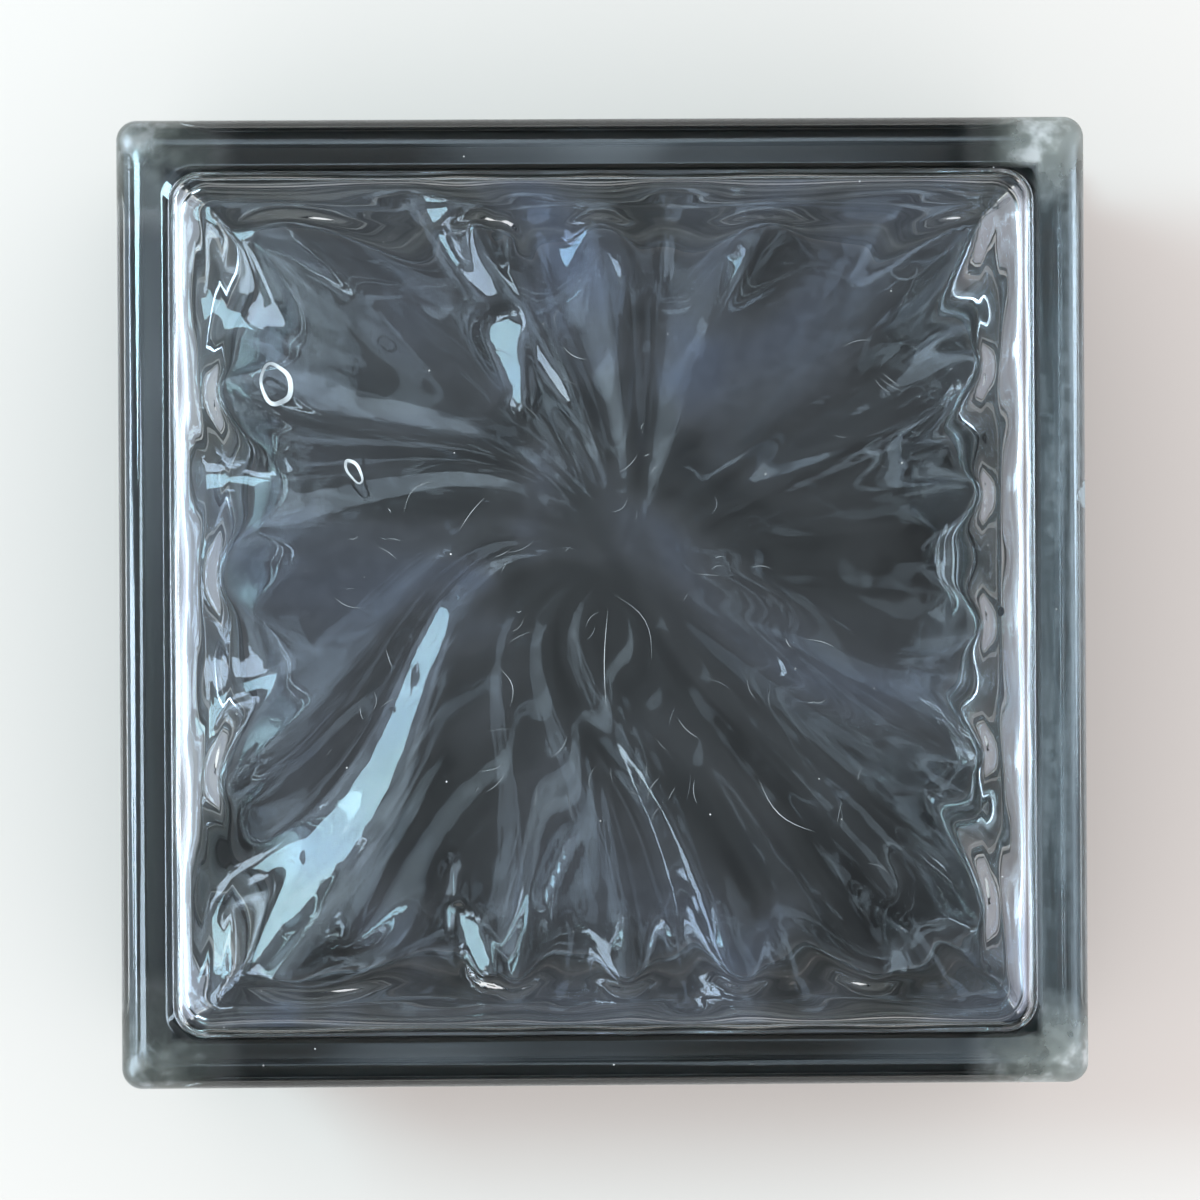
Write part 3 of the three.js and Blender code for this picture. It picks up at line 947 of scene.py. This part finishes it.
# a dim cloudy sky with brighter openings: direction, angle where full, angle where faded, strength
studio = {
    "base": 0.085, "dimmest": 0.04,
    "cloudSeed": 3.0, "cloudNoise": (4.5, 1, 0.4), "cloudRamp": (0.36, 0.64, 0.3, 1.5),
    "openings": [
        ((0.0, 0.0, 1.0), 4, 14, 0.08), ((-0.6, 0.2, 0.77), 10, 60, 0.5),
        ((-0.42, 0.24, 0.87), 8, 19, 1.6), ((0.14, 0.46, 0.88), 3, 11, 1.2),
        ((-0.12, 0.5, 0.86), 3, 8, 2.2), ((0.5, -0.13, 0.86), 4, 13, 0.9),
        ((0.26, 0.25, 0.93), 1, 8, 1.0), ((0.13, -0.46, 0.88), 3, 10, 1.8),
        ((-0.21, -0.1, 0.97), 1, 7, 1.3), ((-0.53, -0.13, 0.84), 4, 8, 12.0),
        ((-0.8, -0.34, 0.5), 4, 7, 14.0), ((-0.8, 0.34, 0.5), 4, 7, 14.0),
        ((-0.98, -0.1, 0.2), 10, 35, 2.6), ((0.98, 0.1, 0.2), 10, 35, 1.6),
        ((-0.85, 0.45, 0.25), 10, 18, 9.0), ((-0.85, -0.45, 0.25), 10, 18, 9.0),
        ((-0.872, 0.0, 0.49), 7.5, 9, 20.0), ((0.885, -0.06, 0.46), 10, 12, 2.5),
        ((0.995, -0.02, 0.09), 6, 8, 14.0), ((0, 1, 0.1), 10, 50, -0.5),
        ((0, -1, 0.1), 10, 50, -0.5),
    ],
    "wander": 0.16, "wanderScale": 5.0,
    "dimColour": (0.84, 0.92, 1.0, 1), "brightColour": (0.68, 0.85, 1.0, 1), "colourTurn": 0.9,
    "evenColour": (0.97, 0.955, 0.98, 1), "evenStrength": 1.55,
}
world = bpy.data.worlds.new("studio")
scene.world = world
world.use_nodes = True
worldTree = world.node_tree


def skyVector(operation, first, second):
    node = worldTree.nodes.new("ShaderNodeVectorMath")
    node.operation = operation
    feed(worldTree, node.inputs[0], first)
    feed(worldTree, node.inputs[1], second)
    return node.outputs["Value"] if operation == "DOT_PRODUCT" else node.outputs["Vector"]


straightLook = worldTree.nodes.new("ShaderNodeTexCoord").outputs["Generated"]
shifted = skyVector("ADD", straightLook, (studio["cloudSeed"], 0, 0))
cloud = noise(worldTree, shifted, *studio["cloudNoise"])
# the openings' edges wander
drift = worldTree.nodes.new("ShaderNodeTexNoise")
drift.inputs["Scale"].default_value = studio["wanderScale"]
worldTree.links.new(straightLook, drift.inputs["Vector"])
drifted = skyVector("SUBTRACT", drift.outputs["Color"], (0.5, 0.5, 0.5))
drifted = skyVector("MULTIPLY", drifted, [studio["wander"]] * 3)
look = skyVector("ADD", straightLook, drifted)
cloud = smoothRamp(worldTree, cloud, *studio["cloudRamp"])
total = calc(worldTree, "MULTIPLY", studio["base"], cloud)
for direction, inner, outer, strength in studio["openings"]:
    toward = skyVector("DOT_PRODUCT", look, Vector(direction).normalized())
    faded, full = math.cos(math.radians(outer)), math.cos(math.radians(inner))
    total = calc(worldTree, "ADD", total, smoothRamp(worldTree, toward, faded, full, 0.0, strength))
total = calc(worldTree, "MAXIMUM", total, studio["dimmest"])
background = worldTree.nodes["Background"]
brightness = smoothRamp(worldTree, total, studio["dimmest"], studio["colourTurn"])
skyColour = mixColour(worldTree, brightness, studio["dimColour"], studio["brightColour"])
feed(worldTree, background.inputs["Color"], skyColour)
worldTree.links.new(total, background.inputs["Strength"])
# light that the sky sheds on dull surfaces, such as the floor, needs none of its detail
evenSky = worldTree.nodes.new("ShaderNodeBackground")
evenSky.inputs["Color"].default_value = studio["evenColour"]
evenSky.inputs["Strength"].default_value = studio["evenStrength"]
fromDull = worldTree.nodes.new("ShaderNodeLightPath").outputs["Is Diffuse Ray"]
skyMix = worldTree.nodes.new("ShaderNodeMixShader")
worldTree.links.new(fromDull, skyMix.inputs[0])
worldTree.links.new(background.outputs[0], skyMix.inputs[1])
worldTree.links.new(evenSky.outputs[0], skyMix.inputs[2])
worldTree.links.new(skyMix.outputs[0], worldTree.nodes["World Output"].inputs["Surface"])
world.cycles.sampling_method = "NONE"

# the camera looks almost straight down on the front face
camera = {
    "x": -10, "y": 3, "distance": 700, "tilt": -0.201, "yaw": -0.759, "roll": -0.346, "lens": 108.19,
}
cameraData = bpy.data.cameras.new("camera")
cameraData.sensor_width = 36
cameraData.sensor_fit = "HORIZONTAL"
cameraData.lens = camera["lens"]
cameraData.clip_start = 0.01
cameraObject = addObject("camera", cameraData)
cameraObject.location = (camera["x"] * mm, camera["y"] * mm, (block["depth"] + camera["distance"]) * mm)
cameraObject.rotation_euler = [math.radians(camera[key]) for key in ("tilt", "yaw", "roll")]
scene.camera = cameraObject
scene.view_settings.view_transform = "Standard"
scene.cycles.caustics_refractive = False
scene.cycles.caustics_reflective = False
scene.cycles.use_denoising = True
print("floor, window, sky and camera set")
